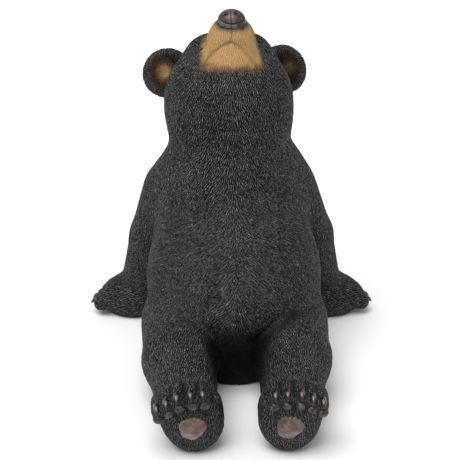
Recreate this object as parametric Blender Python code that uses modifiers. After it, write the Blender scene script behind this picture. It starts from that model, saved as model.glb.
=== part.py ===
"""Bear cub statue: a black bear cub that sits back on its front paws and lifts its nose to the sky.

The statue is one casting. It is built up as a sculptor does in clay: rounded masses for the body, head,
limbs and toes run into each other, hollows are pressed in, lines are drawn with a tool, and the claws are
set last. The cub faces -Y, its left side is at +X, and it sits on the floor at Z = 0.
"""

import math

import bmesh
import bpy
import numpy as np
from mathutils import Matrix, Vector

# Height of the statue, from the floor to the tip of the nose, in metres.
STATUE_HEIGHT = 0.38

# Every place and size below is a share of the height, in hundredths of it, and every angle is in degrees.
SHARE = STATUE_HEIGHT / 100

# Pose. The head sits a little to the cub's right of the seat, and so do the chest and shoulders.
SWAY = -0.7
HEAD_TILT = 11.0  # how far the muzzle leans forward from straight up
HEAD_TURN = 4.0  # how far the face turns to the cub's left
HEAD_ROLL = 1.2  # how far the nose leans to the cub's left
HAND_TURN = 27.0  # how far the front paws point back from straight out
FOOT_ROLL = {-1: 10.0, 1: 1.0}  # how far the toes of the right and left hind foot lean out
EAR_TURN = 52.0  # how far the ears' cups turn down from the nose's direction towards the chest
EAR_SPREAD = 16.0  # how far they open to the side

# Joints, as (outward, back, up) from the middle of the seat. Where the sides differ, right is -1.
HEAD = (-1.2, 17, 73.06)
SHOULDER = (15.9, 21, 45.2)
ELBOW = (23.2, 29, 28)
WRIST = (27.2, 35.5, 10)
HIP = (12.8, -1, 13)
KNEE = (15.4, -21, 11.8)
ANKLE = (13.2, -42, 9.3)
HAND = {-1: (28.3, 35.4, 0), 1: (28.6, 34.2, 0)}
FOOT = {-1: (10.5, -47.6, 0), 1: (12.2, -48, 0)}

# Places on the head, from its middle: outward, to the crown, to the nose.
EAR = {-1: (16.5, 12.4, 2.4), 1: (16.8, 12.6, 3.2)}
BROW = {-1: (5.4, 6.2, 9.9), 1: (6.1, 6.2, 10.3)}
EYE = (7.6, 2.6, 15.2)

# The mouth, as seen from the chest: an arch whose corners drop below its top.
MOUTH_TOP = 20.4
MOUTH_DROP = 6.6
MOUTH_HALF_WIDTH = 7.6

# Toes of a hind foot, inner to outer, as (outward, up) from the heel.
TOES = ((-4.2, 17.5), (-1.2, 17.8), (2.3, 17.8), (5.2, 16.7), (7.8, 15.7))
TOE_RADIUS = 1.7
TOE_FRONT = -5.6
TOE_ROOT = (0.92, 2.5, -0.7)  # share of the way outward, then how far back and below the tip each toe starts
TOE_PAD = (1.5, 1.45, 1.3)
TOE_PAD_DROP = 1.9  # how far below its toe's middle each pad sits

# Toes of a front paw.
FINGER_SPACING = 3.3
FINGER_REACH = 11
FINGER_RADIUS = 2.45
KNUCKLE_RADIUS = 3.5

# Claws. Each leaves its toe a little above the middle of the tip and hooks down to a point.
CLAW_RADIUS = 0.75
CLAW_HOOK = ((-1.0, 0, 1), (0.6, 0, 1), (1.6, 0.45, 0.85), (2.3, 1.3, 0.2))  # along, down, share of the radius
CLAW_SLOPE = 0.1  # how fast a hind claw rises and a front claw drops
HIND_CLAW = (0, -0.3, 1.35)  # its root, from the tip of the toe, in the axes of the foot
FRONT_CLAW = (1.3, 0, 0.9)  # the same, in the axes of the front paw

# Grain of the surface, and how many triangles are left once it is thinned out.
ROUGH_GRAIN = 1.0
SKIN_GRAIN = 0.62
SKIN_TRIANGLES = 8200
LUMP_DETAIL = 4
FINE_REACH = 4.5
PLAIN_THINNING = 0.01


def turned(degrees, axis):
    return Matrix.Rotation(math.radians(degrees), 3, axis)


class Frame:
    """A place to model in: an origin and three axes. Side -1 mirrors it to the cub's right."""

    def __init__(self, origin=(0, 0, 0), turn=Matrix.Identity(3), side=1):
        self.axes = np.array(Matrix.Diagonal((side, 1, 1)) @ turn, float)
        self.origin = np.array((origin[0] * side, origin[1], origin[2]), float)

    def inside(self, points):
        return (points - self.origin) @ self.axes

    def outside(self, points):
        return points @ self.axes.T + self.origin


BODY = {-1: Frame(side=-1), 1: Frame(side=1)}


def head_frame(side=1):
    """X outward, Y to the crown of the head, Z to the nose."""
    turn = turned(HEAD_TURN * side, "Z") @ turned(HEAD_ROLL * side, "Y") @ turned(HEAD_TILT, "X")
    return Frame((HEAD[0] * side, HEAD[1], HEAD[2]), turn, side)


def foot_frame(side):
    """X outward, Y into the foot from the sole, Z up to the toes. The heel stands on the origin."""
    return Frame(FOOT[side], turned(FOOT_ROLL[side], "Y"), side)


def hand_frame(side):
    """X along the paw to the toes, Y across it to the back, Z up. The heel of the paw is at the origin."""
    return Frame(HAND[side], turned(HAND_TURN, "Z"), side)


class Ball:
    """An egg-shaped mass with three radii along its frame's axes, turned about its centre."""

    def __init__(self, frame, centre, radii, blend, turn=Matrix.Identity(3)):
        self.frame, self.blend = frame, blend
        self.centre, self.radii = np.array(centre, float), np.array(radii, float)
        self.turn = np.array(turn, float)
        self.middle, self.reach = frame.outside(self.centre), self.radii.max()

    def distance(self, points):
        local = (self.frame.inside(points) - self.centre) @ self.turn
        reach = np.linalg.norm(local / self.radii, axis=1) + 1e-9
        slope = np.linalg.norm(local / self.radii**2, axis=1) + 1e-9
        return reach * (reach - 1) / slope

    def skin(self, directions):
        return self.frame.outside((directions * self.radii) @ self.turn.T + self.centre)


class Cup(Ball):
    """A ball with a smaller one scooped out of it, such as an ear."""

    def __init__(self, frame, centre, radii, blend, turn, scoop_centre, scoop_radii):
        super().__init__(frame, centre, radii, blend, turn)
        self.scoop = Ball(frame, Vector(centre) + turn @ Vector(scoop_centre), scoop_radii, 1, turn)

    def distance(self, points):
        return -blended(-super().distance(points), self.scoop.distance(points), self.scoop.blend)

    def skin(self, directions):
        places = directions * self.radii
        scoop = (self.scoop.centre - self.centre) @ self.turn
        across = 1 - (((places - scoop) / self.scoop.radii)[:, :2] ** 2).sum(1)
        floor = scoop[2] - self.scoop.radii[2] * np.sqrt(np.maximum(across, 0))
        scooped = (across > 0) & (places[:, 2] > 0)
        places[scooped, 2] = np.minimum(places, floor[:, None])[scooped, 2]
        return self.frame.outside(places @ self.turn.T + self.centre)


class Limb:
    """A mass that tapers from one rounded end to the other."""

    def __init__(self, frame, start, end, start_radius, end_radius, blend):
        self.frame, self.blend = frame, blend
        self.start, self.end = np.array(start, float), np.array(end, float)
        self.start_radius, self.end_radius = start_radius, end_radius
        self.middle = frame.outside((self.start + self.end) / 2)
        self.reach = np.linalg.norm(self.end - self.start) / 2 + max(start_radius, end_radius)

    def distance(self, points):
        run = self.end - self.start
        local = self.frame.inside(points) - self.start
        along = np.clip(local @ run / (run @ run), 0, 1)
        radius = self.start_radius + along * (self.end_radius - self.start_radius)
        return np.linalg.norm(local - along[:, None] * run, axis=1) - radius

    def skin(self, directions):
        start_reach = directions @ self.start + self.start_radius
        end_reach = directions @ self.end + self.end_radius
        at_end = (end_reach > start_reach)[:, None]
        centre = np.where(at_end, self.end, self.start)
        radius = np.where(at_end, self.end_radius, self.start_radius)
        return self.frame.outside(centre + directions * radius)


class Groove:
    """A line drawn on the front of a form, through (outward, up) places in its frame."""

    def __init__(self, frame, places, behind, width, depth):
        self.frame, self.width, self.depth = frame, width, depth
        self.places, self.behind = np.array(places, float), behind

    def deepens(self, points):
        local = self.frame.inside(points)
        flat = local[:, (0, 2)]
        nearest = np.full(len(points), 1e3)
        for start, end in zip(self.places, self.places[1:]):
            run = end - start
            along = np.clip((flat - start) @ run / (run @ run), 0, 1)
            nearest = np.minimum(nearest, np.linalg.norm(flat - start - along[:, None] * run, axis=1))
        in_front = np.clip((self.behind - local[:, 1]) / 3, 0, 1)
        return in_front * self.depth * np.exp(-((nearest / self.width) ** 2))


def torso_masses():
    body = BODY[1]
    masses = [
        Ball(body, (0, 4, 15), (23, 17.5, 17), 6),  # seat
        Ball(body, (0, 5, 28), (24.3, 20, 20), 8),  # belly
        Ball(body, (0, -3, 22), (17.5, 19.5, 14), 5),  # the fold of the belly between the thighs
        Ball(body, (SWAY, 15, 45), (21, 17.5, 18), 8),  # ribs
        Limb(body, (SWAY, 16, 50), (SWAY, 17, 64), 16.8, 16.2, 6),  # neck
        Ball(body, (0, -8, 6.5), (11, 8, 9), 4),  # groin
        Ball(body, (0, 20.5, 8.5), (3.6, 4.4, 3.4), 3),  # tail
    ]
    for side in (-1, 1):
        masses.append(Ball(BODY[side], (10.2, 19, 51.5), (10.4, 10.5, 8.9), 5))  # shoulder blade
    return masses


def head_masses():
    head = head_frame()
    masses = [
        Ball(head, (0, 0, 0), (18, 16.5, 17.5), 5),  # skull and cheeks
        Limb(head, (0, -1.5, 11.5), (0, -0.2, 19), 9.6, 6.3, 1),  # muzzle
        Ball(head, (0, -0.2, 17.8), (6.8, 6.2, 5.6), 1),  # lips
        Ball(head, (0, -0.4, 20.8), (5, 4.8, 3.6), 1.5),  # lips under the nose
        Ball(head, (0, -0.7, 24.5), (3.7, 3.4, 3), 0.5),  # nose
        Limb(head, (-1.9, -2.9, 24.2), (1.9, -2.9, 24.2), 1.2, 1.2, 0.3),  # lower rim of the nose
        Ball(head, (0, 9.5, 7.6), (9.5, 6, 7.5), 5),  # forehead
    ]
    for side in (-1, 1):
        flank = head_frame(side)
        masses += [
            Ball(flank, BROW[side], (6, 5.2, 6.6), 3.5),  # brow
            Cup(flank, EAR[side], (7.2, 7.2, 3.2), 1.4, ear_turn(), (0, 0, 3.2), (5.3, 5.3, 4.1)),
            Ball(flank, EYE, (1.9, 1.9, 1.9), 0.3),  # eye
        ]
    return masses


def ear_turn():
    return turned(EAR_TURN, "X") @ turned(EAR_SPREAD, "Y")


def finger(toe):
    """Knuckle and tip of a front toe, from the back edge of the paw to its front edge."""
    across = FINGER_SPACING * (2 - toe)
    return (6.2, across * 0.85, 7.4), (FINGER_REACH - 0.4 * (toe - 2) ** 2, across, 3.7)


def arm_masses(side):
    body, hand = BODY[side], hand_frame(side)
    shoulder = (SHOULDER[0] + SWAY * side, SHOULDER[1], SHOULDER[2])
    masses = [
        Limb(body, shoulder, ELBOW, 9.2, 6.8, 3),
        Limb(body, ELBOW, WRIST, 6.8, 6.2, 2),
        Ball(hand, (2.8, 0, 4.7), (9.6, 7.8, 6.6), 3),  # palm
    ]
    for toe in range(5):
        knuckle, tip = finger(toe)
        masses.append(Limb(hand, knuckle, tip, KNUCKLE_RADIUS, FINGER_RADIUS, 0.4))
    return masses


def leg_masses(side):
    body, foot = BODY[side], foot_frame(side)
    masses = [
        Limb(body, HIP, KNEE, 13.8, 9.7, 1.2),
        Limb(body, KNEE, ANKLE, 9.7, 7.6, 3),
        Ball(foot, (0.1, 0.4, 8.4), (8, 5.8, 8.6), 3),  # heel
        Ball(foot, (0.6, 0.8, 13), (8.1, 5.6, 5.6), 3),  # ball of the foot
        Ball(foot, (1.6, -0.4, 15), (8, 5, 3.9), 2),  # back of the foot, over the toes
        Ball(foot, (0.2, -4.9, 8.4), (3.7, 1.4, 3.5), 0.3),  # sole pad
    ]
    for across, up in TOES:
        root = (across * TOE_ROOT[0], TOE_ROOT[1], up + TOE_ROOT[2])
        masses.append(Limb(foot, root, (across, TOE_FRONT, up), TOE_RADIUS + 0.5, TOE_RADIUS, 0.8))
        masses.append(Ball(foot, (across, TOE_FRONT, up - TOE_PAD_DROP), TOE_PAD, 0.15))
    return masses


def masses():
    found = torso_masses() + head_masses()
    for side in (-1, 1):
        found += arm_masses(side) + leg_masses(side)
    return found


def hollows():
    found = []
    for side in (-1, 1):
        flank = head_frame(side)
        found.append(Ball(flank, (8.3, 3.0, 17.6), (2.2, 1.5, 2.0), 0.8))  # corner of the eye
        found.append(Ball(flank, (1.35, -0.9, 27.5), (0.65, 0.6, 1.3), 0.2))  # nostril
    return found


def grooves():
    head = head_frame()
    lip = [(MOUTH_HALF_WIDTH * x, MOUTH_TOP - MOUTH_DROP * abs(x) ** 1.8) for x in np.linspace(-1, 1, 13)]
    return [
        Groove(head, lip, 0, 0.6, 0.75),  # mouth
        Groove(head, [(0, MOUTH_TOP), (0, 24)], 0, 0.5, 0.5),  # from the mouth to the nose
        Groove(BODY[1], [(-11, 70.3), (-4, 69.4), (3, 69.5), (8, 70.2)], 6, 1.5, 0.4),  # throat
        Groove(BODY[1], [(-5, 65.4), (0, 64.7), (5, 65.6)], 6, 1.2, 0.3),
    ]


MASSES = masses()
HOLLOWS = hollows()
GROOVES = grooves()


def blended(nearer, other, blend):
    """The smaller of two distances, rounded where they meet."""
    overlap = np.maximum(blend - np.abs(nearer - other), 0) / blend
    return np.minimum(nearer, other) - overlap**2 * blend / 4


def clay(points):
    """How far each point is from the surface of the clay: below zero inside it."""
    distance = np.full(len(points), 1e3)
    for mass in MASSES:
        near = np.linalg.norm(points - mass.middle, axis=1) < mass.reach + mass.blend + 6
        distance[near] = blended(distance[near], mass.distance(points[near]), mass.blend)
    for hollow in HOLLOWS:
        near = np.linalg.norm(points - hollow.middle, axis=1) < hollow.reach + hollow.blend + 2
        distance[near] = -blended(-distance[near], hollow.distance(points[near]), hollow.blend)
    for groove in GROOVES:
        distance += groove.deepens(points)
    return distance


def slope(points, distance, step=0.05):
    found = np.empty_like(points)
    for axis in range(3):
        moved = points.copy()
        moved[:, axis] += step
        found[:, axis] = (clay(moved) - distance) / step
    return found


def slid_onto_clay(points, steps):
    for _ in range(steps):
        distance = clay(points)
        way = slope(points, distance)
        points = points - way * (distance / np.maximum((way**2).sum(1), 0.1))[:, None]
    return points


def points_of(mesh):
    points = np.empty(len(mesh.vertices) * 3, np.float32)
    mesh.vertices.foreach_get("co", points)
    return points.reshape(-1, 3).astype(float)


def set_points(mesh, points):
    mesh.vertices.foreach_set("co", points.astype(np.float32).ravel())
    mesh.update()


def linked(name, mesh, collection):
    made = bpy.data.objects.new(name, mesh)
    collection.objects.link(made)
    return made


def evaluated(obj):
    """A new mesh with the object's modifiers applied, which takes the old one's place."""
    graph = bpy.context.evaluated_depsgraph_get()
    mesh = bpy.data.meshes.new_from_object(obj.evaluated_get(graph))
    obj.modifiers.clear()
    obj.data = mesh
    return mesh


def lumps(collection):
    """All the masses as closed shells that still run through each other."""
    mould = bmesh.new()
    for mass in MASSES:
        made = bmesh.ops.create_icosphere(mould, subdivisions=LUMP_DETAIL, radius=1)["verts"]
        directions = np.array([v.co for v in made])
        for vert, place in zip(made, mass.skin(directions)):
            vert.co = place
    bmesh.ops.recalc_face_normals(mould, faces=mould.faces)
    mesh = bpy.data.meshes.new("lumps")
    mould.to_mesh(mesh)
    mould.free()
    return linked("bear_cub", mesh, collection)


def remeshed(obj, grain, steps):
    fuse = obj.modifiers.new("fuse", "REMESH")
    fuse.mode = "VOXEL"
    fuse.voxel_size = grain
    mesh = evaluated(obj)
    set_points(mesh, slid_onto_clay(points_of(mesh), steps))
    return mesh


def thinned(obj):
    """Fewer, larger triangles, the largest where the form is plain: away from the face and the paws."""
    plain = obj.vertex_groups.new(name="plain")
    points = points_of(obj.data)
    nearest = np.full(len(points), 1e3)
    for place in detailed_places():
        nearest = np.minimum(nearest, np.linalg.norm(points - place, axis=1))
    level = 0.5 + 0.5 * np.clip(nearest / FINE_REACH - 1, 0, 1)
    for index, weight in enumerate(level):
        plain.add((index,), weight, "REPLACE")
    thin = obj.modifiers.new("thin out", "DECIMATE")
    thin.ratio = SKIN_TRIANGLES / sum(len(p.vertices) - 2 for p in obj.data.polygons)
    thin.vertex_group = "plain"
    thin.vertex_group_factor = PLAIN_THINNING
    evaluated(obj)
    obj.vertex_groups.clear()


def claw(frame, root, way):
    """A claw that leaves the toe at its root, runs along the way and hooks down to its point."""
    spine = bpy.data.curves.new("claw", "CURVE")
    spine.dimensions = "3D"
    spine.bevel_depth = CLAW_RADIUS
    spine.bevel_resolution = 1
    spine.use_fill_caps = True
    thread = spine.splines.new("POLY")
    thread.points.add(len(CLAW_HOOK) - 1)
    for point, (along, drop, thickness) in zip(thread.points, CLAW_HOOK):
        place = root + along * np.array(way) - drop * np.array((0, 0, 1))
        point.co = (*frame.outside(place), 1)
        point.radius = thickness
    return spine


def claws():
    found = []
    for side in (-1, 1):
        foot, hand = foot_frame(side), hand_frame(side)
        for across, up in TOES:
            root = np.array((across, TOE_FRONT, up)) + HIND_CLAW
            found.append(claw(foot, root, (0, -1, CLAW_SLOPE)))
        for toe in range(5):
            root = np.array(finger(toe)[1]) + FRONT_CLAW
            found.append(claw(hand, root, (1, 0, -CLAW_SLOPE)))
    return found


def with_claws(statue):
    """Joins the claws to the paws, so that the casting stays one body."""
    mould = bmesh.new()
    for spine in claws():
        guide = linked("claw", spine, bpy.context.scene.collection)
        graph = bpy.context.evaluated_depsgraph_get()
        shape = bpy.data.meshes.new_from_object(guide.evaluated_get(graph))
        mould.from_mesh(shape)
        bpy.data.objects.remove(guide)
    bmesh.ops.remove_doubles(mould, verts=mould.verts, dist=0.001)
    bmesh.ops.recalc_face_normals(mould, faces=mould.faces)
    mesh = bpy.data.meshes.new("claws")
    mould.to_mesh(mesh)
    mould.free()
    nails = linked("claws", mesh, bpy.context.scene.collection)
    union = statue.modifiers.new("claws", "BOOLEAN")
    union.operation = "UNION"
    union.solver = "EXACT"
    union.object = nails
    evaluated(statue)
    bpy.data.objects.remove(nails)


def painted_resin():
    finish = bpy.data.materials.new("painted resin")
    finish.use_nodes = True
    shader = finish.node_tree.nodes["Principled BSDF"]
    shader.inputs["Base Color"].default_value = (0.045, 0.047, 0.046, 1)
    shader.inputs["Roughness"].default_value = 0.7
    shader.inputs["Metallic"].default_value = 0
    return finish


def detailed_places():
    """The middles of what needs small triangles: the muzzle, the ears and the toes."""
    places = [head_frame().outside(np.array((0, -1, 20)))]
    for side in (-1, 1):
        places += [head_frame(side).outside(np.array(place)) for place in (EAR[side], EYE)]
        places += [foot_frame(side).outside(np.array((across, TOE_FRONT, up))) for across, up in TOES]
        places += [hand_frame(side).outside(np.array(finger(toe)[1])) for toe in range(5)]
    return places


def build():
    for old in list(bpy.data.objects):
        bpy.data.objects.remove(old)
    collection = bpy.data.collections.new("bear cub statue")
    bpy.context.scene.collection.children.link(collection)
    statue = lumps(collection)
    remeshed(statue, ROUGH_GRAIN, 3)
    remeshed(statue, SKIN_GRAIN, 2)
    thinned(statue)
    mesh = statue.data
    mould = bmesh.new()
    mould.from_mesh(mesh)
    floor_cut = bmesh.ops.bisect_plane(
        mould,
        geom=mould.verts[:] + mould.edges[:] + mould.faces[:],
        plane_co=(0, 0, 0),
        plane_no=(0, 0, -1),
        clear_outer=True,
    )
    rim = [e for e in floor_cut["geom_cut"] if isinstance(e, bmesh.types.BMEdge)]
    bmesh.ops.holes_fill(mould, edges=rim, sides=0)
    mould.to_mesh(mesh)
    mould.free()
    with_claws(statue)
    mesh = statue.data
    low, high = points_of(mesh).min(0), points_of(mesh).max(0)
    mesh.transform(Matrix.Translation((-(low[0] + high[0]) / 2, -(low[1] + high[1]) / 2, 0)))
    mesh.transform(Matrix.Scale(SHARE, 4))
    mesh.shade_smooth()
    mesh.materials.append(painted_resin())


build()
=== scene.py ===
"""Looks of the bear cub statue: its carved fur, paint, muzzle, nose, eyes, claws and pads.

The cub faces -Y and its left side is at +X. As in the solid's own source, places are in hundredths of the
statue's height, measured from the middle of the seat, and a Frame turns them into metres.
"""

import math

import bpy
import numpy as np
from mathutils import Matrix, Vector, noise
from mathutils.bvhtree import BVHTree
from mathutils.kdtree import KDTree


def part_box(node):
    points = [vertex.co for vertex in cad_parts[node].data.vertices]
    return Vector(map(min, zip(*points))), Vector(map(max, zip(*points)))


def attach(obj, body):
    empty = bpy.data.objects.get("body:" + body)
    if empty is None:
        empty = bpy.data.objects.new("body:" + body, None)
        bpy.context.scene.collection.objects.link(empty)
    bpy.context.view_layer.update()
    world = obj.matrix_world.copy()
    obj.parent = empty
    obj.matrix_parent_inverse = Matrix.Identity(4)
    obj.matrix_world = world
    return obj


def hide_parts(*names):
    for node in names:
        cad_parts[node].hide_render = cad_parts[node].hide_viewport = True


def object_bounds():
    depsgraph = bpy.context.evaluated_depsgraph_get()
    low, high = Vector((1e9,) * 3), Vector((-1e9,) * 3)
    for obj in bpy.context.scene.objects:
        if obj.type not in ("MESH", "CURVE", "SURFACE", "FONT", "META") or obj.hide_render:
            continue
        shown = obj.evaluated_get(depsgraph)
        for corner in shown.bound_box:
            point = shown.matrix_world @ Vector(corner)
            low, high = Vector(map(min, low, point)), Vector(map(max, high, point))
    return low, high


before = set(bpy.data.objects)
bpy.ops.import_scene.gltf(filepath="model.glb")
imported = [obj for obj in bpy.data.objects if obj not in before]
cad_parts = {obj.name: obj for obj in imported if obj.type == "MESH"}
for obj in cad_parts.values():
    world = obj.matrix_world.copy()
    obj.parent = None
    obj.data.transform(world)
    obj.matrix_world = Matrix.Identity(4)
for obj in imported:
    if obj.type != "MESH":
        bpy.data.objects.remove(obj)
CAD_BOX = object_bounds()

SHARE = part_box("bear_cub")[1].z / 100
MILLIMETRE = 0.001
SEAT = (-0.15, 4.154, 0)  # the middle of the seat, from the middle of the statue's box

# The pose, as in the solid.
SWAY = -0.7
HEAD = (SWAY - 0.5, 17, 73.06)
HEAD_TILT = 11.0
HEAD_TURN = 4.0
HEAD_ROLL = 1.2
HAND_TURN = 27.0
FOOT_ROLL = {-1: 10.0, 1: 1.0}
HAND = {-1: (28.3, 35.4, 0), 1: (28.6, 34.2, 0)}
FOOT = {-1: (10.5, -47.6, 0), 1: (12.2, -48, 0)}
EAR = {-1: (16.5, 12.4, 2.4), 1: (16.8, 12.6, 3.2)}
TOES = ((-4.2, 17.5), (-1.2, 17.8), (2.3, 17.8), (5.2, 16.7), (7.8, 15.7))
TOE_RADIUS = 1.7
TOE_FRONT = -5.6
TOE_PAD_DROP = 1.9
FINGER_SPACING = 3.3
FINGER_REACH = 11
FINGER_UP = 3.7
CLAW_HOOK = ((-1.0, 0, 1), (0.6, 0, 1), (1.6, 0.45, 0.85), (2.3, 1.3, 0.2))
CLAW_SLOPE = 0.1
HIND_CLAW = (0, -0.3, 1.35)
FRONT_CLAW = (1.3, 0, 0.9)
CLAW_RADIUS = 0.8
SOLE_PAD = (0.0, -5.0, 9.2)
SOLE_PAD_RADII = (3.5, 1.55, 3.45)
TOE_PAD_RADII = (1.5, 1.6, 1.3)
EYE_RADII = (1.7, 0.8, 0.9)
EYE_SINK = 0.62
NOSE = (-0.2, -0.7, 24.5)
NOSE_RADII = (3.8, 3.5, 3.1)
FACE_SHIFT = -0.6  # how far the carved face lies to the cub's right of the middle of its head

# The skin's mesh.
SKIN_GRAIN = 0.95 * MILLIMETRE
SKIN_TRIANGLES = 196000

# Carved fur.
LOCK_LENGTH = 5.8 * MILLIMETRE
LOCK_WIDTH = 2.1 * MILLIMETRE
LOCK_SPACING = 2.6 * MILLIMETRE
LOCK_LEAN = 0.55
FUR_DEPTH = 1.0 * MILLIMETRE
HAIR_SPACING = 1.9 * MILLIMETRE
COMB_REACH = 8.0  # in hundredths of the height
LOCK_REACH = 0.62  # how far from its root a lock is looked for, as a share of its length
LOCK_SIZES = (0.75, 1.2)
LOCK_TAPER = 0.35
LOCK_ROOT_HEIGHT = 0.78
LOCK_SEED = 4

# How deep each line is cut into the skin, in millimetres.
MOUTH_CUT = 0.95
LIP_CUT = 0.6
SLIT_CUT = 1.6
TOE_CUT = 1.7
LAP_CUT = 1
FOLD_CUT = 3.2
PAD_BED = 1.6

# How wide each line is, from its middle outwards, in hundredths of the height.
MOUTH_WIDTH = 0.28
LIP_WIDTH = 0.2
SLIT_WIDTH = 0.5
LAP_WIDTH = 1.1
TOE_GAP_WIDTH = 0.75
TOE_FOLD_WIDTH = 0.35
FINGER_GAP_WIDTH = 0.7

# How the painted shade in the folds is found.
SHADE_STEP = 12  # every twelfth point of the skin is tested
SHADE_RAYS = 56
SHADE_LIFT = 2.5 * MILLIMETRE
SHADE_REACH = 0.09
SHADE_SEED = 9

# The paints, as linear red, green, blue and opacity.
CUT_BLACK = (0.0006, 0.0007, 0.0008, 1)
BRUSHED_GREY = (0.128, 0.134, 0.134, 1)
# Painted highlight: the pale grey of the glints on the hair's crests.
PAINTED_GLINT_GREY = (0.42, 0.43, 0.42, 1)
OLIVE_WASH = (1.0, 0.98, 0.9, 1)
TAN = ((0.13, 0.066, 0.022, 1), (0.5, 0.31, 0.13, 1))
RUST = ((0.1, 0.05, 0.02, 1), (0.32, 0.165, 0.07, 1))
# Dark brown inside the ears, darkened further as painted shade in their cups.
EAR_BROWN_AND_SHADE = ((0.004, 0.0034, 0.003, 1), (0.04, 0.03, 0.024, 1))
BARE_GREY = ((0.01, 0.009, 0.008, 1), (0.055, 0.052, 0.048, 1))
MOUTH_BROWN = (0.07, 0.035, 0.016, 1)
# The eye slits' black, and painted shade in the cuts between the toes, their pads and the fingers.
SLIT_AND_GAP_SHADE_BLACK = (0.003, 0.003, 0.003, 1)
# Painted shade: near black in the hollows, between the thighs and along the lap crease.
PAINTED_SHADE_BLACK = (0.0006, 0.0006, 0.0006, 1)
CLAW_HORN = ((0.006, 0.005, 0.004, 1), (0.23, 0.17, 0.14, 1))
NOSE_BROWN = ((0.016, 0.012, 0.011, 1), (0.075, 0.056, 0.05, 1))
NOSE_PINK = (0.15, 0.085, 0.075, 1)
NOSE_RIM_GREY = (0.105, 0.098, 0.088, 1)
# Painted shade: near black in the nose's nostrils, slots, crease and middle line.
NOSE_PIT_SHADE_BLACK = (0.003, 0.0025, 0.0025, 1)
SOLE_UPPER = ((0.06, 0.03, 0.027, 1), (0.17, 0.105, 0.09, 1))
SOLE_LOWER = ((0.11, 0.085, 0.078, 1), (0.24, 0.2, 0.185, 1))
TOE_PAD_GREY = ((0.008, 0.007, 0.006, 1), (0.085, 0.08, 0.072, 1))
EYE_BLACK = (0.006, 0.005, 0.005, 1)

# The photograph's camera: where it aims, how far off it is, and its angles in degrees.
AIM = (-1.3, 0, 41.0)
CAMERA_DISTANCE = 400
CAMERA_TURN = -1.66
CAMERA_RISE = 22.0
CAMERA_LENS = 113.56
CAMERA_SENSOR = 36.0

# The studio.
FLOOR_SIZE = 12
FLOOR_WHITE = (0.93, 0.93, 0.93, 1)
SURROUND_STRENGTH = 0.54
KEY_STRENGTH = 2.45
KEY_SPREAD = 45  # degrees
KEY_AIM = (0.3, 0.5, -1.25)


class Frame:
    """Axes to place things in, in hundredths of the height. Side -1 mirrors them to the cub's right."""

    def __init__(self, origin=(0, 0, 0), turn=Matrix.Identity(3), side=1):
        self.axes = np.array(Matrix.Diagonal((side, 1, 1)) @ turn, float)
        self.origin = np.array((origin[0] * side, origin[1], origin[2]), float) + SEAT

    def inside(self, points):
        return (points / SHARE - self.origin) @ self.axes

    def outside(self, places):
        return (np.asarray(places, float) @ self.axes.T + self.origin) * SHARE


def turned(degrees, axis):
    return Matrix.Rotation(math.radians(degrees), 3, axis)


def head_frame(side=1):
    turn = turned(HEAD_TURN * side, "Z") @ turned(HEAD_ROLL * side, "Y") @ turned(HEAD_TILT, "X")
    return Frame((HEAD[0] * side, HEAD[1], HEAD[2]), turn, side)


def foot_frame(side):
    return Frame(FOOT[side], turned(FOOT_ROLL[side], "Y"), side)


def hand_frame(side):
    return Frame(HAND[side], turned(HAND_TURN, "Z"), side)


BODY = Frame()
SIDES = (-1, 1)
SIDE_NAMES = ((-1, "right"), (1, "left"))


def alone(piece):
    """Selects the piece and nothing else, for the operators."""
    bpy.ops.object.select_all(action="DESELECT")
    piece.select_set(True)
    bpy.context.view_layer.objects.active = piece


def modified(piece, kind, **values):
    alone(piece)
    modifier = piece.modifiers.new(kind.lower(), kind)
    for name, value in values.items():
        setattr(modifier, name, value)
    bpy.ops.object.modifier_apply(modifier=modifier.name)


def points_of(piece):
    points = np.empty(len(piece.data.vertices) * 3, np.float32)
    piece.data.vertices.foreach_get("co", points)
    return points.reshape(-1, 3).astype(float)


def normals_of(piece):
    normals = np.empty(len(piece.data.vertices) * 3, np.float32)
    piece.data.vertex_normals.foreach_get("vector", normals)
    return normals.reshape(-1, 3).astype(float)


def set_points(piece, points):
    piece.data.vertices.foreach_set("co", points.astype(np.float32).ravel())
    piece.data.update()


def set_field(piece, name, values):
    """Keeps one number or one vector for each point of the mesh, for the materials."""
    kind, entry = ("FLOAT", "value") if values.ndim == 1 else ("FLOAT_VECTOR", "vector")
    field = piece.data.attributes.new(name, kind, "POINT")
    field.data.foreach_set(entry, values.astype(np.float32).ravel())


def ramp(values, start, end):
    """0 before start, 1 after end, and smooth between them."""
    share = np.clip((values - start) / (end - start), 0, 1)
    return share * share * (3 - 2 * share)


def unit(vectors):
    return vectors / np.maximum(np.linalg.norm(vectors, axis=1, keepdims=True), 1e-9)


def near(points, place, reach):
    """1 at the place and 0 further off than about twice the reach."""
    return np.exp(-((np.linalg.norm(points - place, axis=1) / reach) ** 2))


def from_line(points, places):
    """How far each point is from a line drawn through the places."""
    nearest = np.full(len(points), 1e3)
    places = np.array(places, float)
    for start, end in zip(places, places[1:]):
        run = end - start
        along = np.clip((points - start) @ run / max(run @ run, 1e-12), 0, 1)
        nearest = np.minimum(nearest, np.linalg.norm(points - start - along[:, None] * run, axis=1))
    return nearest


def stroke(points, line, width):
    """1 along a line, fading to 0 on both sides of it."""
    return np.exp(-((from_line(points, line) / width) ** 2))


def clouds(points, size, seed):
    """A slow change over the surface, from about -1 to 1."""
    shift = Vector((seed * 7.3, seed * 3.1, seed * 5.7))
    return np.array([noise.noise(Vector(p) + shift) for p in points / size]) * 1.6


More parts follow.
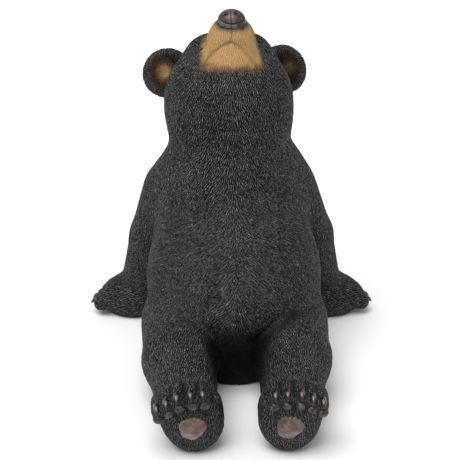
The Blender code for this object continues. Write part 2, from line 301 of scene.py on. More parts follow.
# Which way the fur lies, as (outward, back, up) places and directions on the cub's left side.
COMB = (
    ((0, 6, 91), (0, -0.3, -1)),
    ((6, 10, 88), (0.35, 0, -1)),
    ((5, 24, 92), (0.2, 0.9, -0.7)),
    ((0, 1, 80), (0.15, -0.4, -1)),
    ((9, 3, 77), (0.35, 0, -1)),
    ((18, 14, 75), (0.3, 0.5, -0.9)),
    ((0, 29, 88), (0.1, 1, -0.5)),
    ((0, 35, 72), (0, 0.2, -1)),
    ((13, 30, 72), (0.3, 0.3, -1)),
    ((0, -1, 68), (0.2, 0, -1)),
    ((16, 16, 62), (0.2, 0.1, -1)),
    ((0, 34, 56), (0, 0, -1)),
    ((2, 0, 60), (0.5, -0.2, -0.9)),
    ((12, 3, 56), (0.6, 0, -0.8)),
    ((4, -5, 47), (0.7, -0.3, -0.8)),
    ((13, 0, 44), (0.75, 0.1, -0.65)),
    ((4, -13, 36), (0.75, -0.1, -0.7)),
    ((15, -9, 34), (0.8, 0.1, -0.6)),
    ((3, -16, 26), (0.75, 0, -0.75)),
    ((21, -3, 30), (0.6, 0.4, -0.7)),
    ((10, -16, 24), (0.8, -0.1, -0.6)),
    ((3, -15, 14), (0.6, 0, -0.9)),
    ((19, 16, 50), (0.4, 0, -0.9)),
    ((24, 24, 38), (0.15, 0.1, -1)),
    ((28, 32, 22), (0.25, 0.1, -1)),
    ((33, 35, 9), (0.9, 0.15, -0.5)),
    ((39, 38, 6), (1, 0.5, -0.2)),
    ((12, 33, 46), (0.2, 0.1, -1)),
    ((0, 27, 26), (0.1, -0.3, -1)),
    ((16, 20, 25), (0.3, -0.3, -1)),
    ((0, 22, 9), (0, 0.7, -0.8)),
    ((14, -12, 27), (0.5, -0.8, -0.3)),
    ((16, -26, 22), (0.25, -1, -0.3)),
    ((14, -38, 18), (0.2, -1, -0.1)),
    ((25, -12, 14), (0.1, -0.9, -0.5)),
    ((23, -30, 11), (0.1, -1, -0.3)),
    ((5, -28, 12), (-0.2, -0.8, -0.6)),
    ((14, -46, 19), (0.1, -1, 0.1)),
    ((12, -54, 12), (0.2, 0, -1)),
    ((12, -53, 4), (0.1, 0.3, -1)),
)


def combed(points, normals):
    """The direction the fur lies in at each point, along the surface."""
    places = BODY.inside(points)
    flank = np.where(places[:, 0] < 0, -1.0, 1.0)
    places[:, 0] *= flank
    lie = np.zeros_like(points)
    for place, way in COMB:
        lie += near(places, np.array(place, float), COMB_REACH)[:, None] * unit(np.array([way]))
    lie += (0, 0, -0.001)
    lie[:, 0] *= flank * np.tanh(places[:, 0] / 2)
    for side in SIDES:
        middle = head_frame(side).outside(EAR[side])
        pull = near(points, middle, 8 * SHARE)
        lie += 6 * pull[:, None] * unit(points - middle)
    lie -= (lie * normals).sum(1)[:, None] * normals
    return unit(lie)


def locks(points, normals, lie, seed):
    """The carved fur's height: 0 in the cuts between the locks, up to 1 along their crests."""
    rng = np.random.default_rng(seed)
    tree = KDTree(len(points))
    for index, point in enumerate(points):
        tree.insert(point, index)
    tree.balance()
    order = rng.permutation(len(points))
    cells = np.floor(points[order] / LOCK_SPACING).astype(int)
    roots = order[np.unique(cells, axis=0, return_index=True)[1]]
    owners, members = [], []
    for root in roots:
        found = [index for _, index, _ in tree.find_range(points[root], LOCK_LENGTH * LOCK_REACH)]
        owners += [root] * len(found)
        members += found
    owners, members = np.array(owners), np.array(members)
    lean = np.zeros(len(points))
    lean[roots] = rng.normal(0, LOCK_LEAN, len(roots))
    size = np.ones(len(points))
    size[roots] = rng.uniform(*LOCK_SIZES, len(roots))
    across = np.cross(normals, lie)
    lean, size = lean[owners], size[owners]
    way = lie[owners] * np.cos(lean)[:, None] + across[owners] * np.sin(lean)[:, None]
    aside = np.cross(normals[owners], way)
    away = points[members] - points[owners]
    along = (away * way).sum(1) / (LOCK_LENGTH / 2 * size)
    beside = (away * aside).sum(1) / (LOCK_WIDTH / 2 * size)
    girth = np.sqrt(np.clip(1 - along**2, 0, 1)) * (1 - LOCK_TAPER * along)
    crest = np.clip(1 - (beside / np.maximum(girth, 0.05)) ** 2, 0, 1)
    crest = crest * (LOCK_ROOT_HEIGHT + 0.22 * along)
    crest *= (normals[members] * normals[owners]).sum(1) > 0.3
    height = np.zeros(len(points))
    np.maximum.at(height, members, crest)
    return height


# The lines of the face, in the head's axes, and the folds of the body. A fold also has its width and depth.
MOUTH = [(FACE_SHIFT + 7.2 * x, 20.6 - 7.0 * abs(x) ** 1.6) for x in np.linspace(-1, 1, 17)]
LIP_LINE = [(FACE_SHIFT, 20.6), (FACE_SHIFT, 23.6)]
THROAT_FOLDS = (
    ([(-11, 3, 69.8), (-4, 0, 69.2), (3, 0, 69.4), (8, 3, 69.9)], 0.9, 0.4),
    ([(-6, 1, 67.1), (0, 0.5, 66.7), (6, 1, 67.6)], 0.6, 0.3),
    ([(-5, 1, 64.8), (-1, 0.5, 64.5), (4, 1, 65.3)], 0.8, 0.35),
)
LAP_CREASE = [
    (22, -4, 22.5),
    (17.5, -12.1, 23.2),
    (11.8, -18, 22.4),
    (7, -21, 19),
    (3, -20, 15.6),
    (0, -17.4, 12),
]
CROTCH = [(0, -17, 11), (0, -14, 0)]
EYE_SLIT = [(10.4, 0.9, 14.2), (8.8, -0.2, 16.2), (7.0, -1.0, 18.1)]


def on_front(places):
    """1 where a face looks towards the chest, in the head's axes."""
    return ramp(-places[:, 1], 0, 2.5)


def drawn_lines(points):
    """The mouth, the line down the lip and the eye slits: each 1 along its line and 0 away from it."""
    head = head_frame().inside(points)
    flat = head[:, (0, 2)]
    front = on_front(head)
    mouth = stroke(flat, MOUTH, MOUTH_WIDTH) * front
    lip = stroke(flat, LIP_LINE, LIP_WIDTH) * front
    slits = np.zeros(len(points))
    for side in SIDES:
        flank = head_frame(side).inside(points)
        slits = np.maximum(slits, stroke(flank, EYE_SLIT, SLIT_WIDTH))
    return mouth, lip, slits


def lap_crease(points):
    """1 along the crease where the belly meets the thighs."""
    places = BODY.inside(points)
    places[:, 0] = np.abs(places[:, 0])
    return stroke(places, LAP_CREASE, LAP_WIDTH)


def throat_folds(points):
    """How deep the folds of the throat are, 0 to about 1."""
    places, folds = BODY.inside(points), np.zeros(len(points))
    for line, width, deep in THROAT_FOLDS:
        folds += deep * stroke(places, line, width)
    return folds


def toe_gaps(points):
    """1 along the cuts between the hind toes; less between each toe and its pad and between the fingers."""
    found = np.zeros(len(points))
    for side in SIDES:
        foot, hand = foot_frame(side).inside(points), hand_frame(side).inside(points)
        for (across, up), (following, next_up) in zip(TOES, TOES[1:]):
            middle, level = (across + following) / 2, (up + next_up) / 2
            top, bottom = (middle, TOE_FRONT, level + 0.8), (middle, TOE_FRONT, level - 3.4)
            gap = [(middle, 0, level + 1.2), top, bottom]
            found = np.maximum(found, stroke(foot, gap, TOE_GAP_WIDTH))
        for across, up in TOES:
            level = up - TOE_PAD_DROP + 1.05
            fold = [(across - 1.5, TOE_FRONT - 1.1, level), (across + 1.5, TOE_FRONT - 1.1, level)]
            found = np.maximum(found, 0.6 * stroke(foot, fold, TOE_FOLD_WIDTH))
        for toe in range(4):
            middle = (finger_tip(toe) + finger_tip(toe + 1)) / 2
            gap = [middle + (-3.5, 0, 2.6), middle + (0, 0, 1.6), middle + (1.2, 0, -1.6)]
            found = np.maximum(found, 0.8 * stroke(hand, gap, FINGER_GAP_WIDTH))
    return found


def muzzle_paint(points):
    """1 on the tan muzzle, fading out over the cheeks and chin."""
    head = head_frame().inside(points)
    edge = 13.9 + 0.3 * np.clip(-head[:, 1] - 6, 0, 6) + 0.55 * np.clip(head[:, 1] + 2, 0, 12)
    ragged = clouds(points, 1.3 * SHARE, 3) * 0.5
    half_width = 6.0 + 0.32 * (22.5 - head[:, 2])
    beyond = ramp(np.abs(head[:, 0] - FACE_SHIFT / 2) + 0.5 * ragged, half_width - 1.3, half_width + 0.9)
    return ramp(head[:, 2] + ragged, edge - 3.2, edge + 2.4) * (1 - beyond)


# Each ear's side, the middle of its tan patch and the patch's reach, and the way that the ears open.
EAR_PATCHES = ((-1, (17.4, 13.3, 2.4), 2.5), (1, (18.0, 13.8, 3.4), 1.9))
EAR_REACH = 5.0
EAR_OPENS = (0.27, -0.62, 0.73)


def ear_paint(points, normals):
    """1 on the tan patch inside each ear, and 1 over the dark brown that surrounds it, which is darkened
    further as painted shade in the ear's cup.
    """
    tan, brown = np.zeros(len(points)), np.zeros(len(points))
    for side, spot, reach in EAR_PATCHES:
        flank = head_frame(side)
        inner = ramp(normals @ flank.axes @ np.array(EAR_OPENS), 0.0, 0.5)
        tan += near(points, flank.outside(spot), reach * SHARE) * inner
        brown += near(points, flank.outside(EAR[side]), EAR_REACH * SHARE) * inner
    return np.clip(tan * 1.3, 0, 1), np.clip(brown * 1.2, 0, 1)


def surface_of(mesh):
    return BVHTree.FromPolygons([v.co for v in mesh.vertices], [tuple(f.vertices) for f in mesh.polygons])


def painted_shade(points, normals):
    """How much of each point's outlook the statue itself blocks, 0 to 1: high between the limbs. It sets
    where shade is painted into the fur's colour.
    """
    tree = surface_of(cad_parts["bear_cub"].data)
    rng = np.random.default_rng(SHADE_SEED)
    ways = unit(rng.normal(size=(SHADE_RAYS, 3)))
    tested = points[::SHADE_STEP]
    known, blocked = KDTree(len(tested)), []
    for index, (point, normal) in enumerate(zip(tested, normals[::SHADE_STEP])):
        known.insert(point, index)
        start = Vector(point + normal * SHADE_LIFT)
        outward = [Vector(way) for way in ways if way @ normal > 0.1]
        seen = [tree.ray_cast(start, way, SHADE_REACH)[0] is None for way in outward]
        blocked.append(1 - np.mean(seen))
    known.balance()
    blocked = np.array(blocked)
    share = np.empty(len(points))
    for index, point in enumerate(points):
        found = known.find_n(point, 6)
        weights = np.array([1 / (distance + 2 * MILLIMETRE) for _, _, distance in found])
        share[index] = weights @ blocked[[where for _, where, _ in found]] / weights.sum()
    return share


def finger_tip(toe):
    """The end of one of a front paw's five toes, 0 to 4, in the hand's axes."""
    return np.array((FINGER_REACH - 0.4 * (toe - 2) ** 2, FINGER_SPACING * (2 - toe), FINGER_UP))


def bare_skin(points):
    """1 where the casting has no fur: round the nose, at the toes' ends and on the soles."""
    head = head_frame().inside(points)
    bare = ramp(head[:, 2], 22.6, 24.0)
    for side in SIDES:
        foot, hand = foot_frame(side), hand_frame(side)
        for across, up in TOES:
            pad = foot.outside((across, TOE_FRONT - 0.9, up - TOE_PAD_DROP - 0.3))
            bare = np.maximum(bare, near(points, pad, 1.6 * SHARE))
        for toe in range(5):
            end = hand.outside(finger_tip(toe) + (2.0, 0, -0.6))
            bare = np.maximum(bare, near(points, end, 1.5 * SHARE))
        pad = foot.inside(points) - (SOLE_PAD[0], -6, SOLE_PAD[2])
        bare = np.maximum(bare, 1 - ramp(np.linalg.norm(pad / (3.7, 3, 3.4), axis=1), 0.8, 1.0))
    return np.clip(bare * 1.25, 0, 1)


def under_pads(points):
    """1 under the nose and the sole pads, which are pieces of their own and cover the skin."""
    nose_way = (head_frame().inside(points) - NOSE) / (np.array(NOSE_RADII) * 0.93)
    under = 1 - ramp(np.linalg.norm(nose_way, axis=1), 0.95, 1.12)
    for side in SIDES:
        pad = (foot_frame(side).inside(points) - SOLE_PAD) / (3.4, 3, 3.0)
        under = np.maximum(under, 1 - ramp(np.linalg.norm(pad, axis=1), 0.8, 1.0))
    return under


def carved(points, normals, fur):
    """The points of the smooth form, moved by the carving: the locks, the drawn lines and the pads' beds."""
    bare, tan = bare_skin(points), muzzle_paint(points)
    mouth, lip, slits = drawn_lines(points)
    depth = FUR_DEPTH * (1 - 0.97 * bare) * (1 - 0.7 * tan)
    lift = depth * (fur - 0.55) * (1 - 0.6 * np.maximum(mouth, slits))
    lift = lift - PAD_BED * MILLIMETRE * under_pads(points)
    lines = MOUTH_CUT * mouth + LIP_CUT * lip + SLIT_CUT * slits
    lines = lines + TOE_CUT * toe_gaps(points) + LAP_CUT * lap_crease(points)
    cut = lines * MILLIMETRE + throat_folds(points) * FOLD_CUT * MILLIMETRE
    moved = points + (lift - cut)[:, None] * normals
    moved[:, 2] = np.maximum(moved[:, 2], CAD_BOX[0][2])
    return moved


def skin():
    """The casting's surface: the solid's own form, smooth, with the fur and the lines carved in."""
    alone(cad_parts["bear_cub"])
    bpy.ops.object.duplicate()
    cast = bpy.context.object
    cast.name = "bear_cub_skin"
    modified(cast, "WELD", merge_threshold=0.00001)
    modified(cast, "SUBSURF", levels=1, render_levels=1)
    modified(cast, "REMESH", mode="VOXEL", voxel_size=SKIN_GRAIN)
    modified(cast, "SMOOTH", factor=0.5, iterations=6)
    points, normals = points_of(cast), normals_of(cast)
    lie = combed(points, normals)
    fur = locks(points, normals, lie, LOCK_SEED)
    set_points(cast, carved(points, normals, fur))
    set_field(cast, "fur", fur)
    triangles = sum(len(face.vertices) - 2 for face in cast.data.polygons)
    modified(cast, "DECIMATE", ratio=SKIN_TRIANGLES / triangles)
    alone(cast)
    bpy.ops.object.shade_smooth()
    paint_fields(cast)
    return cast


def paint_fields(cast):
    """Keeps on the mesh what the paint follows: the lie of the fur, where each colour goes and where shade
    is painted.
    """
    points, normals = points_of(cast), normals_of(cast)
    lie = combed(points, normals)
    mouth, lip, slits = drawn_lines(points)
    tan, brown = ear_paint(points, normals)
    set_field(cast, "across", np.cross(normals, lie))
    set_field(cast, "muzzle", muzzle_paint(points))
    set_field(cast, "ear_tan", tan)
    set_field(cast, "ear_brown_and_shade", brown)
    set_field(cast, "bare", bare_skin(points))
    set_field(cast, "line", np.clip(0.8 * mouth + 0.6 * lip, 0, 1))
    # The eye slits in black, and painted shade in the cuts between the toes, their pads and the fingers.
    set_field(cast, "slit_and_gap_shade", np.maximum(slits, 0.9 * toe_gaps(points)))
    # Painted shade: near black between the thighs, along the lap crease and where the statue blocks its own
    # light.
    between_thighs = 1 - ramp(from_line(BODY.inside(points), CROTCH), 4.5, 9)
    shaded = 0.62 * between_thighs + 0.22 * lap_crease(points)
    set_field(cast, "painted_shade", np.maximum(painted_shade(points, normals), shaded))


class Nodes:
    """Short calls for laying out shader nodes in one tree."""

    def __init__(self, tree):
        self.tree = tree

    def add(self, kind, inputs=None, **values):
        node = self.tree.nodes.new(kind)
        for name, value in values.items():
            setattr(node, name, value)
        for name, value in (inputs or {}).items():
            self.put(value, node.inputs[name])
        return node

    def put(self, value, socket):
        if isinstance(value, bpy.types.NodeSocket):
            self.tree.links.new(value, socket)
        else:
            socket.default_value = value

    def field(self, name):
        node = self.add("ShaderNodeAttribute", attribute_name=name)
        return node.outputs["Fac"]

    def vector_field(self, name):
        return self.add("ShaderNodeAttribute", attribute_name=name).outputs["Vector"]

    def place(self):
        return self.add("ShaderNodeTexCoord").outputs["Object"]

    def maths(self, operation, first, second=0.0):
        inputs = {0: first, 1: second}
        return self.add("ShaderNodeMath", inputs, operation=operation).outputs[0]

    def vectors(self, operation, first, second):
        """Two vectors taken together, or with SCALE a vector and a number."""
        inputs = {0: first, ("Scale" if operation == "SCALE" else 1): second}
        return self.add("ShaderNodeVectorMath", inputs, operation=operation).outputs["Vector"]

    def spread(self, value, low, high, new_low=0.0, new_high=1.0):
        inputs = {"Value": value, "From Min": low, "From Max": high, "To Min": new_low, "To Max": new_high}
        return self.add("ShaderNodeMapRange", inputs, interpolation_type="SMOOTHSTEP").outputs["Result"]

    def mix(self, share, first, second, blend="MIX"):
        node = self.add("ShaderNodeMix", data_type="RGBA", blend_type=blend)
        self.put(share, node.inputs[0])
        self.put(first, node.inputs[6])
        self.put(second, node.inputs[7])
        return node.outputs[2]

    def noise(self, scale, detail=2.0, roughness=0.5):
        inputs = {"Vector": self.place(), "Scale": scale, "Detail": detail, "Roughness": roughness}
        return self.add("ShaderNodeTexNoise", inputs).outputs["Fac"]

    def bump(self, height, distance, strength):
        inputs = {"Strength": strength, "Distance": distance, "Height": height}
        return self.add("ShaderNodeBump", inputs).outputs["Normal"]


def effect(name, inputs, outputs):
    """An empty shader node group with named sockets, and the nodes of its two ends."""
    group = bpy.data.node_groups.new(name, "ShaderNodeTree")
    for socket, kind, value in inputs:
        made = group.interface.new_socket(socket, in_out="INPUT", socket_type=kind)
        if value is not None:
            made.default_value = value
    for socket, kind in outputs:
        group.interface.new_socket(socket, in_out="OUTPUT", socket_type=kind)
    nodes = Nodes(group)
    return nodes, nodes.add("NodeGroupInput").outputs, nodes.add("NodeGroupOutput").inputs


def hair_cuts():
    """Fine strokes of the carving tool along the fur, from 0 in a cut to 1 on the hair beside it, and the
    glints where a highlight is painted on the strokes.
    """
    nodes, given, made = effect(
        "hair cuts",
        [
            ("Place", "NodeSocketVector", None),
            ("Across", "NodeSocketVector", None),
            ("Spacing", "NodeSocketFloat", HAIR_SPACING),
            ("Tangle", "NodeSocketFloat", 1.0),
        ],
        [("Crest", "NodeSocketFloat"), ("Glint", "NodeSocketFloat")],
    )
    swirl = nodes.add("ShaderNodeTexNoise", {"Vector": given["Place"], "Scale": 170.0, "Detail": 1.0})
    turn = nodes.vectors("SUBTRACT", swirl.outputs["Color"], (0.5, 0.5, 0.5))
    turn = nodes.vectors("SCALE", turn, nodes.maths("MULTIPLY", given["Tangle"], 1.8))
    across = nodes.vectors("ADD", given["Across"], turn)
    frequency = 1.9
    marks = nodes.add("ShaderNodeTexGabor", gabor_type="3D")
    marks.inputs["Frequency"].default_value = frequency
    marks.inputs["Anisotropy"].default_value = 1.0
    nodes.put(given["Place"], marks.inputs["Vector"])
    nodes.put(across, marks.inputs[5])  # the 3D orientation, which shares its name with the 2D one
    nodes.put(nodes.maths("DIVIDE", 1 / frequency, given["Spacing"]), marks.inputs["Scale"])
    nodes.put(nodes.spread(marks.outputs["Value"], 0.32, 0.68), made["Crest"])
    nodes.put(nodes.spread(marks.outputs["Value"], 0.62, 0.85), made["Glint"])
    return nodes.tree


def used(nodes, group, inputs):
    """The outputs of a group, put to use in another tree."""
    node = nodes.add("ShaderNodeGroup", node_tree=group)
    for name, value in inputs.items():
        nodes.put(value, node.inputs[name])
    return node.outputs


def finish_of(name, roughness, **plain):
    """A new material: its nodes, and its Principled shader with the plain values set."""
    material = bpy.data.materials.new(name)
    material.use_nodes = True
    shader = material.node_tree.nodes["Principled BSDF"]
    shader.inputs["Roughness"].default_value = roughness
    for socket, value in plain.items():
        shader.inputs[socket.replace("_", " ")].default_value = value
    return material, Nodes(material.node_tree), shader.inputs


def painted_fur(cuts):
    """Charcoal, black in the cuts and brushed grey on the crests, with tan muzzle and ears; painted
    highlights glint on the crests, and painted shade darkens the hollows, the ears' cups and the cuts
    between the toes.
    """
    material, nodes, shader = finish_of("painted fur", 0.6, Specular_IOR_Level=0.16)
    across, muzzle, bare = nodes.vector_field("across"), nodes.field("muzzle"), nodes.field("bare")
    ear_tan = nodes.field("ear_tan")
    hair = used(nodes, cuts, {"Place": nodes.place(), "Across": across, "Tangle": 1.0})
    fur, grain = nodes.field("fur"), nodes.noise(620.0, 2.0, 0.6)
    fine = nodes.maths("MULTIPLY", hair["Crest"], nodes.spread(grain, 0.36, 0.6, 0.4, 1.0))
    glint = nodes.maths("MULTIPLY", hair["Glint"], nodes.spread(grain, 0.45, 0.62))
    height = nodes.maths("ADD", nodes.maths("MULTIPLY", fur, 0.25), nodes.maths("MULTIPLY", fine, 0.95))

    patches = nodes.spread(nodes.noise(30.0, 3.0), 0.3, 0.7, -0.05, 0.05)
    brushed = nodes.spread(nodes.maths("ADD", height, patches), 0.34, 1.08)
    charcoal = nodes.mix(brushed, CUT_BLACK, BRUSHED_GREY)
    # Painted highlights: pale grey glints on the hair's crests.
    charcoal = nodes.mix(glint, charcoal, PAINTED_GLINT_GREY)
    washed = nodes.spread(nodes.noise(11.0), 0.45, 0.65)
    colour = nodes.mix(washed, charcoal, OLIVE_WASH, "MULTIPLY")

    tan = nodes.mix(nodes.spread(height, -0.6, 1.0), *TAN)
    rust = nodes.mix(nodes.spread(height, -0.7, 1.0), *RUST)
    full_tan = nodes.spread(nodes.maths("MAXIMUM", muzzle, ear_tan), 0.45, 0.95)
    tan = nodes.mix(full_tan, rust, tan)
    # Dark brown inside the ears, darkened further as painted shade in their cups.
    colour = nodes.mix(nodes.field("ear_brown_and_shade"), colour, nodes.mix(height, *EAR_BROWN_AND_SHADE))
    colour = nodes.mix(ear_tan, colour, tan)
    colour = nodes.mix(nodes.spread(muzzle, 0.05, 0.8), colour, tan)

    mottle = nodes.spread(nodes.noise(160.0, 4.0), 0.3, 0.7)
    colour = nodes.mix(bare, colour, nodes.mix(mottle, *BARE_GREY))
    colour = nodes.mix(nodes.maths("MULTIPLY", nodes.field("line"), 0.6), colour, MOUTH_BROWN)
    # Black eye slits, and painted shade between the toes, their pads and the fingers.
    colour = nodes.mix(nodes.field("slit_and_gap_shade"), colour, SLIT_AND_GAP_SHADE_BLACK)
    # Painted shade in the hollows, on top of the dark that the dry-brushed paint leaves there.
    painted_recess_shade = nodes.spread(nodes.field("painted_shade"), 0.2, 0.56, 0.0, 0.98)
    nodes.put(nodes.mix(painted_recess_shade, colour, PAINTED_SHADE_BLACK), shader["Base Color"])

    nodes.put(nodes.spread(bare, 0.0, 1.0, 0.6, 0.36), shader["Roughness"])
    smooth = nodes.maths("MAXIMUM", bare, nodes.maths("MULTIPLY", muzzle, 0.5))
    relief = nodes.maths("MULTIPLY", fine, nodes.maths("SUBTRACT", 1.0, smooth))
    nodes.put(nodes.bump(relief, 0.0006, 1.0), shader["Normal"])
    return material


def claw_pattern():
    """One claw, in hundredths of the height, that leaves the toe at 0, runs along +X and hooks down."""
    bpy.ops.curve.primitive_nurbs_path_add(radius=1, location=(0, 0, 0))
    guide = bpy.context.object
    spine = guide.data
    spine.splines.clear()
    spine.bevel_depth = CLAW_RADIUS
    spine.bevel_resolution = 4
    spine.use_fill_caps = True
    thread = spine.splines.new("NURBS")
    thread.points.add(len(CLAW_HOOK) - 1)
    thread.use_endpoint_u = True
    thread.order_u = 3
    thread.resolution_u = 6
    for point, (along, drop, girth) in zip(thread.points, CLAW_HOOK):
        point.co = (along, 0, -drop, 1)
        point.radius = girth
    alone(guide)
    bpy.ops.object.convert(target="MESH")
    modified(guide, "WELD", merge_threshold=0.002)
    bpy.ops.object.shade_smooth()
    points = points_of(guide)
    # Paler along the middle of the claw, darker towards its root, its tip and its sides.
    pale_middle = np.exp(-(((points[:, 0] - 1.3) / 1.0) ** 2)) * np.exp(-((points[:, 1] / 0.5) ** 2))
    set_field(guide, "pale_middle", pale_middle)
    return guide


def copied(pattern, name, points):
    """Another of the pattern, with a mesh of its own, moved to the points."""
    alone(pattern)
    bpy.ops.object.duplicate()
    piece = bpy.context.object
    piece.name = name
    set_points(piece, points)
    faced_out(piece)
    return piece


def faced_out(piece):
    """Turns the faces of a closed mesh outwards."""
    alone(piece)
    bpy.ops.object.mode_set(mode="EDIT")
    bpy.ops.mesh.select_all(action="SELECT")
    bpy.ops.mesh.normals_make_consistent(inside=False)
    bpy.ops.object.mode_set(mode="OBJECT")


def claws():
    """The twenty claws, copies of one."""
    pattern, found = claw_pattern(), []
    model = points_of(pattern)
    for side, name in SIDE_NAMES:
        foot, hand = foot_frame(side), hand_frame(side)
        toes = []
        for number, (across, up) in enumerate(TOES):
            root = np.array((across, TOE_FRONT, up)) + HIND_CLAW
            toes.append((f"claw_hind_{name}_{number + 1}", foot, root, (0, -1, CLAW_SLOPE)))
        for toe in range(5):
            root = finger_tip(toe) + FRONT_CLAW
            toes.append((f"claw_front_{name}_{toe + 1}", hand, root, (1, 0, -CLAW_SLOPE)))
        for label, place, root, way in toes:
            axes = np.array((way, np.cross((0, 0, 1), way), (0, 0, 1)))
            found.append(copied(pattern, label, place.outside(model @ axes + root)))
    bpy.data.objects.remove(pattern)
    return found


def ball(name, place, centre, radii, detail, shape=None):
    """An icosphere set in a frame. The shape function moves its points, given in the frame's own axes."""
    bpy.ops.mesh.primitive_ico_sphere_add(subdivisions=detail, radius=1, location=(0, 0, 0))
    piece = bpy.context.object
    piece.name = name
    places = points_of(piece) * radii + centre
    if shape:
        places = shape(piece, places)
    set_points(piece, place.outside(places))
    faced_out(piece)
    bpy.ops.object.shade_smooth()
    return piece


NOSTRIL = (1.35, -1.9, 27.0)
NOSE_CREASE = [
    (-3.6, -1.6, 25.9),
    (-2.4, -3.0, 25.2),
    (0, -3.9, 24.9),
    (2.4, -3.0, 25.2),
    (3.6, -1.6, 25.9),
]
NOSE_RIM = [(x, y - 0.2, z - 1.0) for x, y, z in NOSE_CREASE]
NOSE_LINE = [(0, -0.9, 27.6), (0, -2.9, 26.8), (0, -4.2, 25.0), (0, -4.4, 23.4)]


def nose_ways(spots):
    """The ways from the nose pad's middle to a line drawn through the spots."""
    spots = np.array(spots, float) - (NOSE[0] - FACE_SHIFT, NOSE[1], NOSE[2])
    steps = np.linspace(0, 1, 9)[:, None]
    runs = [start + steps * (end - start) for start, end in zip(spots, spots[1:])]
    return unit(np.concatenate(runs) / NOSE_RADII)


def nose_shape(piece, places):
    """Presses in the nostrils, the slots beside them, the smiling crease and the middle line, and keeps
    where shade is painted into them.
    """
    out = unit((places - NOSE) / NOSE_RADII)
    pits = np.zeros(len(places))
    for side in SIDES:
        nostril = np.array((NOSTRIL[0] * side, NOSTRIL[1], NOSTRIL[2]))
        wing = nostril + (1.5 * side, 0.1, -0.9)
        hole = stroke(out, nose_ways([nostril, nostril + (0.3 * side, 0.1, -0.1)]), 0.13)
        slot = 0.5 * stroke(out, nose_ways([nostril, wing]), 0.06)
        pits = np.maximum(pits, np.maximum(hole, slot))
    crease = stroke(out, nose_ways(NOSE_CREASE), 0.075)
    line = stroke(out, nose_ways(NOSE_LINE), 0.05)
    rim = stroke(out, nose_ways(NOSE_RIM), 0.17)
    middle = stroke(out, nose_ways(NOSE_LINE[:3]), 0.3)
    # Where shade is painted near black: the nostrils, the slots beside them, the crease and the middle line.
    set_field(piece, "pit_shade", np.clip(pits + 0.85 * crease + 0.6 * line, 0, 1))
    set_field(piece, "blush", np.clip(middle - 0.9 * line, 0, 1))
    set_field(piece, "rim", rim)
    return places + out * (0.2 * rim - 0.9 * pits - 0.45 * crease - 0.16 * line)[:, None]


def nose():
    return ball("nose_pad", head_frame(), NOSE, NOSE_RADII, 6, nose_shape)


def toe_pads():
    """The ten pads under the hind toes, copies of one."""
    bpy.ops.mesh.primitive_ico_sphere_add(subdivisions=4, radius=1, location=(0, 0, 0))
    pattern, found = bpy.context.object, []
    bpy.ops.object.shade_smooth()
    model = points_of(pattern) * TOE_PAD_RADII
    for side, name in SIDE_NAMES:
        for number, (across, up) in enumerate(TOES):
            places = model + (across, TOE_FRONT - 0.25, up - TOE_PAD_DROP)
            points = foot_frame(side).outside(places)
            found.append(copied(pattern, f"toe_pad_{name}_{number + 1}", points))
    bpy.data.objects.remove(pattern)
    return found


def sole_shape(side, centre):
    """What gives a sole pad its ragged edge, dents, and the groove above its paler lower part."""

    def ragged(piece, places):
        away = places - centre
        turn = np.arctan2(away[:, 2], away[:, 0])
        wave = 1 + 0.05 * np.sin(3 * turn + side) + 0.03 * np.sin(5 * turn + 2 * side)
        tips = 0.035 * np.sin(17 * turn + side) * ramp(away[:, 2], 0.5, 2.5)
        away[:, (0, 2)] *= (wave + tips)[:, None]
        dents = np.array([noise.noise(Vector(p) * 0.8) for p in places])
        groove = np.exp(-(((away[:, 2] + 0.9 - 0.12 * away[:, 0]) / 0.35) ** 2))
        away[:, 1] *= 1 + 0.12 * dents - 0.16 * groove
        set_field(piece, "lower", ramp(-away[:, 2] - 0.9 + 0.12 * away[:, 0], -0.3, 0.5))
        return centre + away

    return ragged


def sole_pads():
    """The two worn pads under the heels."""
    found = []
    for side, name in SIDE_NAMES:
        centre = np.array(SOLE_PAD) - (0.2 * side, 0, 0)
        shape = sole_shape(side, centre)
        found.append(ball(f"sole_pad_{name}", foot_frame(side), centre, SOLE_PAD_RADII, 6, shape))
    return found


def eyes():
    """The two half-closed eyes, copies of one, sunk into the head behind their slits."""
    bpy.ops.mesh.primitive_uv_sphere_add(segments=32, ring_count=20, radius=1, location=(0, 0, 0))
    pattern, found = bpy.context.object, []
    bpy.ops.object.shade_smooth()
    model = points_of(pattern) * EYE_RADII
    solid = surface_of(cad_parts["bear_cub"].data)
    for side, name in SIDE_NAMES:
        first, middle, last = head_frame(side).outside(EYE_SLIT)
        spot, facing, _, _ = solid.find_nearest(Vector(middle))
        run = Vector(last - first).normalized()
        facing = (facing - facing.dot(run) * run).normalized()
        axes = np.array((run, facing.cross(run), facing)) * SHARE
        points = model @ axes + np.array(spot - facing * EYE_SINK * SHARE)
        found.append(copied(pattern, f"eye_{name}", points))
    bpy.data.objects.remove(pattern)
    return found


def horn():
    """Claws: near black towards the root, the tip and the sides, pinkish tan along the middle, and glossy.
    """
    material, nodes, shader = finish_of("horn claws", 0.28, Specular_IOR_Level=0.5, Coat_Weight=0.2)
    tone = nodes.maths("ADD", nodes.field("pale_middle"), nodes.maths("MULTIPLY", nodes.noise(520.0, 3.0), 0.5))
    nodes.put(nodes.mix(nodes.spread(tone, 0.6, 1.2), *CLAW_HORN), shader["Base Color"])
    return material


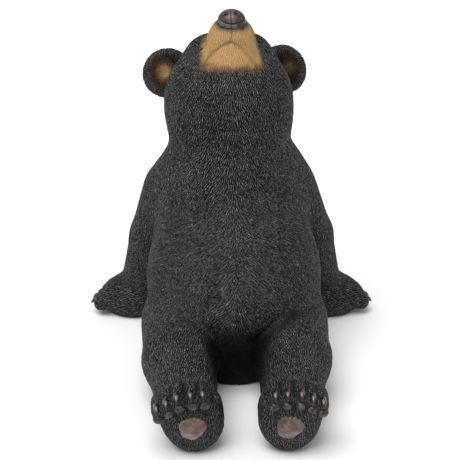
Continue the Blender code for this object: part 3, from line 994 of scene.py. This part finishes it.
def leather():
    """The nose: dark, grained and wet-looking, pinkish down its middle, with a grey rim, and painted shade
    in its nostrils, slots, crease and middle line.
    """
    material, nodes, shader = finish_of("nose leather", 0.4, Specular_IOR_Level=0.5, Coat_Weight=0.15)
    mottle = nodes.spread(nodes.noise(190.0, 4.0), 0.35, 0.68)
    colour = nodes.mix(mottle, *NOSE_BROWN)
    colour = nodes.mix(nodes.maths("MULTIPLY", nodes.field("blush"), 0.75), colour, NOSE_PINK)
    colour = nodes.mix(nodes.maths("MULTIPLY", nodes.field("rim"), 0.8), colour, NOSE_RIM_GREY)
    # Painted shade in the nostrils, slots, crease and middle line.
    nodes.put(nodes.mix(nodes.field("pit_shade"), colour, NOSE_PIT_SHADE_BLACK), shader["Base Color"])
    nodes.put(nodes.bump(nodes.noise(900.0, 2.0), 0.0004, 0.6), shader["Normal"])
    return material


def pad_skin():
    """The soles' pads: worn pinkish brown, greyer and paler below, mottled and glossy."""
    material, nodes, shader = finish_of("sole pads", 0.34, Specular_IOR_Level=0.5, Coat_Weight=0.15)
    mottle = nodes.spread(nodes.noise(110.0, 4.0, 0.6), 0.35, 0.7)
    upper, lower = nodes.mix(mottle, *SOLE_UPPER), nodes.mix(mottle, *SOLE_LOWER)
    nodes.put(nodes.mix(nodes.field("lower"), upper, lower), shader["Base Color"])
    nodes.put(nodes.bump(nodes.noise(230.0, 3.0), 0.0009, 0.7), shader["Normal"])
    return material


def toe_leather():
    """The toes' pads: near black and glossy, with grey where they are rubbed."""
    material, nodes, shader = finish_of("toe pads", 0.36, Specular_IOR_Level=0.5)
    rubbed = nodes.spread(nodes.noise(260.0, 4.0, 0.6), 0.42, 0.72)
    nodes.put(nodes.mix(rubbed, *TOE_PAD_GREY), shader["Base Color"])
    nodes.put(nodes.bump(nodes.noise(420.0, 3.0), 0.0007, 0.7), shader["Normal"])
    return material


def wet_black():
    """The eyes' gloss."""
    material, _, shader = finish_of("eye gloss", 0.12, Specular_IOR_Level=0.5)
    shader["Base Color"].default_value = EYE_BLACK
    return material


def dress(piece, material):
    """Gives the piece its one material, and hangs it on the root body."""
    piece.data.materials.clear()
    piece.data.materials.append(material)
    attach(piece, "root")


def studio():
    """A pale floor under a white surround, and a broad soft light from high on the left."""
    bpy.ops.mesh.primitive_plane_add(size=FLOOR_SIZE, location=(0, 2, 0))
    floor = bpy.context.object
    floor.name = "floor"
    material, _, shader = finish_of("pale floor", 0.9, Specular_IOR_Level=0.2)
    shader["Base Color"].default_value = FLOOR_WHITE
    floor.data.materials.append(material)
    world = bpy.data.worlds.new("white surround")
    bpy.context.scene.world = world
    world.use_nodes = True
    background = world.node_tree.nodes["Background"].inputs
    background["Color"].default_value = (1, 1, 1, 1)
    background["Strength"].default_value = SURROUND_STRENGTH
    turn = Vector(KEY_AIM).to_track_quat("-Z", "Y").to_euler()
    bpy.ops.object.light_add(type="SUN", location=(-1, -1.5, 2), rotation=turn)
    light = bpy.context.object
    light.name = "key"
    light.data.energy = KEY_STRENGTH
    light.data.angle = math.radians(KEY_SPREAD)


def camera():
    """The photograph's camera, which looks down on the cub from the front."""
    rise, turn = math.radians(CAMERA_RISE), math.radians(CAMERA_TURN)
    away = Matrix.Rotation(turn, 3, "Z") @ Matrix.Rotation(-rise, 3, "X") @ Vector((0, -1, 0))
    place = Vector(BODY.outside(AIM)) + away * CAMERA_DISTANCE * SHARE
    bpy.ops.object.camera_add(location=place, rotation=(math.pi / 2 - rise, 0, turn))
    seen = bpy.context.object
    seen.data.sensor_width = CAMERA_SENSOR
    seen.data.lens = CAMERA_LENS
    bpy.context.scene.camera = seen


bpy.context.scene.view_settings.view_transform = "Standard"
cast = skin()
dress(cast, painted_fur(hair_cuts()))
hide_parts("bear_cub")
dress(nose(), leather())
for pieces, finish in ((claws, horn), (sole_pads, pad_skin), (toe_pads, toe_leather), (eyes, wet_black)):
    material = finish()
    for piece in pieces():
        dress(piece, material)
studio()
camera()
